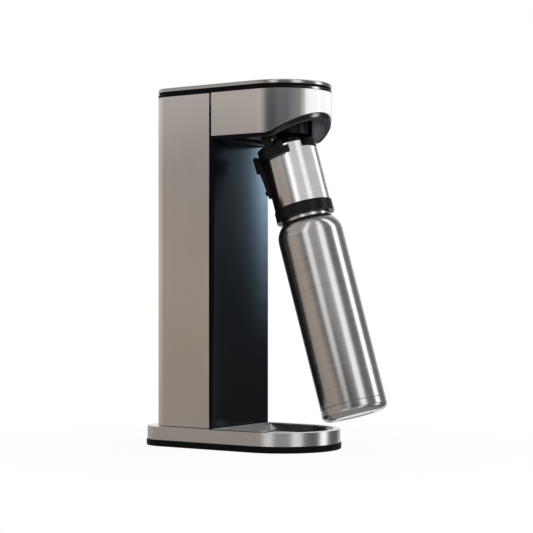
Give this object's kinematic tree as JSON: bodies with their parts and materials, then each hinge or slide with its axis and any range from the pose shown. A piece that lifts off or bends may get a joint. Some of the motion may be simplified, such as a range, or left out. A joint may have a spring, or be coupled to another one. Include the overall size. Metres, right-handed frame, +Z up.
{
  "type": "sparkling water maker",
  "caption": "Free-standing sparkling water maker with a press-down lid, a gas cylinder behind a pull-off cover and a tilting cradle that holds a steel bottle over a dished base.",
  "frame": {"origin": "centre of the flat underside of the base", "axes": "+Z up, the front with the bottle faces -Y, +X to the right seen from behind"},
  "size_m": [0.136, 0.297, 0.42],
  "materials": {
    "foot_rubber": "matt black rubber",
    "inner_plastic": "dark grey moulded plastic",
    "base_steel": "satin brushed steel",
    "screw_steel": "zinc plated steel",
    "gloss_black": "polished black",
    "trim_black": "polished black",
    "satin_black": "satin black plastic",
    "gas_alloy": "machined alloy",
    "tube_black": "black tube",
    "seal_rubber": "soft seal",
    "valve_brass": "turned brass",
    "skin_steel": "satin brushed steel",
    "pin_steel": "polished",
    "sleeve_steel": "fine brushed steel",
    "bottle_steel": "fine brushed steel"
  },
  "bodies": {
    "machine": {"foot_pad": "foot_rubber", "base_plate": "inner_plastic", "base_shell": "base_steel", "drip_dish": "base_steel", "base_screws": "screw_steel", "spine_frame": "inner_plastic", "front_panel": "gloss_black", "cylinder_seat": "inner_plastic", "valve_block": "gas_alloy", "gas_tube": "tube_black", "head_chassis": "inner_plastic", "head_skin": "skin_steel", "soffit": "satin_black", "recess_liner": "inner_plastic", "trim_ring": "trim_black", "tilt_bracket": "satin_black", "ear_rivets": "pin_steel", "bracket_screws": "screw_steel", "outlet_housing": "satin_black", "outlet_nozzle": "valve_brass", "nozzle_seal": "seal_rubber", "return_spring": "screw_steel"},
    "lid": {"top_plate": "skin_steel", "lid_core": "inner_plastic", "lid_skirt": "satin_black", "guide_posts": "screw_steel", "press_rod": "screw_steel"},
    "valve": {"valve_pin": "valve_brass"},
    "cover": {"rear_cover": "skin_steel", "cover_clips": "inner_plastic"},
    "cylinder": {"co2_cylinder": "gas_alloy", "cylinder_valve": "valve_brass"},
    "cradle": {"tilt_yoke": "satin_black", "tilt_pins": "satin_black", "infuser_body": "satin_black", "infuser_sleeve": "sleeve_steel", "inlet_dome": "satin_black", "bottle_collar": "satin_black", "bottle_gasket": "seal_rubber", "dip_tube": "screw_steel", "diffuser_tip": "gas_alloy", "lever_pin": "satin_black"},
    "lever": {"release_lever": "satin_black"},
    "vent": {"vent_knob": "satin_black"},
    "bottle": {"bottle_shell": "bottle_steel", "bottle_neck": "bottle_steel", "bottle_cup": "bottle_steel"}
  },
  "joints": [
    {"name": "cradle_tilt", "type": "hinge", "parent": "machine", "child": "cradle", "pos_m": [0, -0.054, 0.355], "axis": [1, 0, 0], "range_deg": [0, 16.5]},
    {"name": "top_press", "type": "slide", "parent": "machine", "child": "lid", "axis": [0, 0, -1], "range_m": [0, 0.0022], "stiffness_N_per_m": 3000, "springref_m": -0.006, "deforming": ["return_spring"]},
    {"name": "valve_press", "type": "slide", "parent": "cylinder", "child": "valve", "axis": [0, 0, -1], "range_m": [0, 0.0022]},
    {"name": "lever_press", "type": "hinge", "parent": "cradle", "child": "lever", "pos_m": [0, -0.03626, 0.29447], "axis": [1, 0, 0], "range_deg": [0, 10], "stiffness_Nm_per_rad": 0.3, "springref_deg": -11.46},
    {"name": "vent_pull", "type": "slide", "parent": "cradle", "child": "vent", "axis": [0, 0.284, 0.9588], "range_m": [0, 0.0025], "stiffness_N_per_m": 400, "springref_m": -0.003},
    {"name": "bottle_twist", "type": "hinge", "parent": "cradle", "child": "bottle", "pos_m": [0, -0.054, 0.355], "axis": [0, 0.284, 0.9588], "range_deg": [0, 60]},
    {"name": "cover_slide", "type": "slide", "parent": "machine", "child": "cover", "axis": [0, 1, 0], "range_m": [0, 0.12]},
    {"name": "cylinder_turn", "type": "hinge", "parent": "machine", "child": "cylinder", "pos_m": [0, 0.06, 0.2], "axis": [0, 0, 1], "continuous": true}
  ],
  "couplings": [
    {"joint": "valve_press", "follows": "top_press", "ratio": 1}
  ]
}
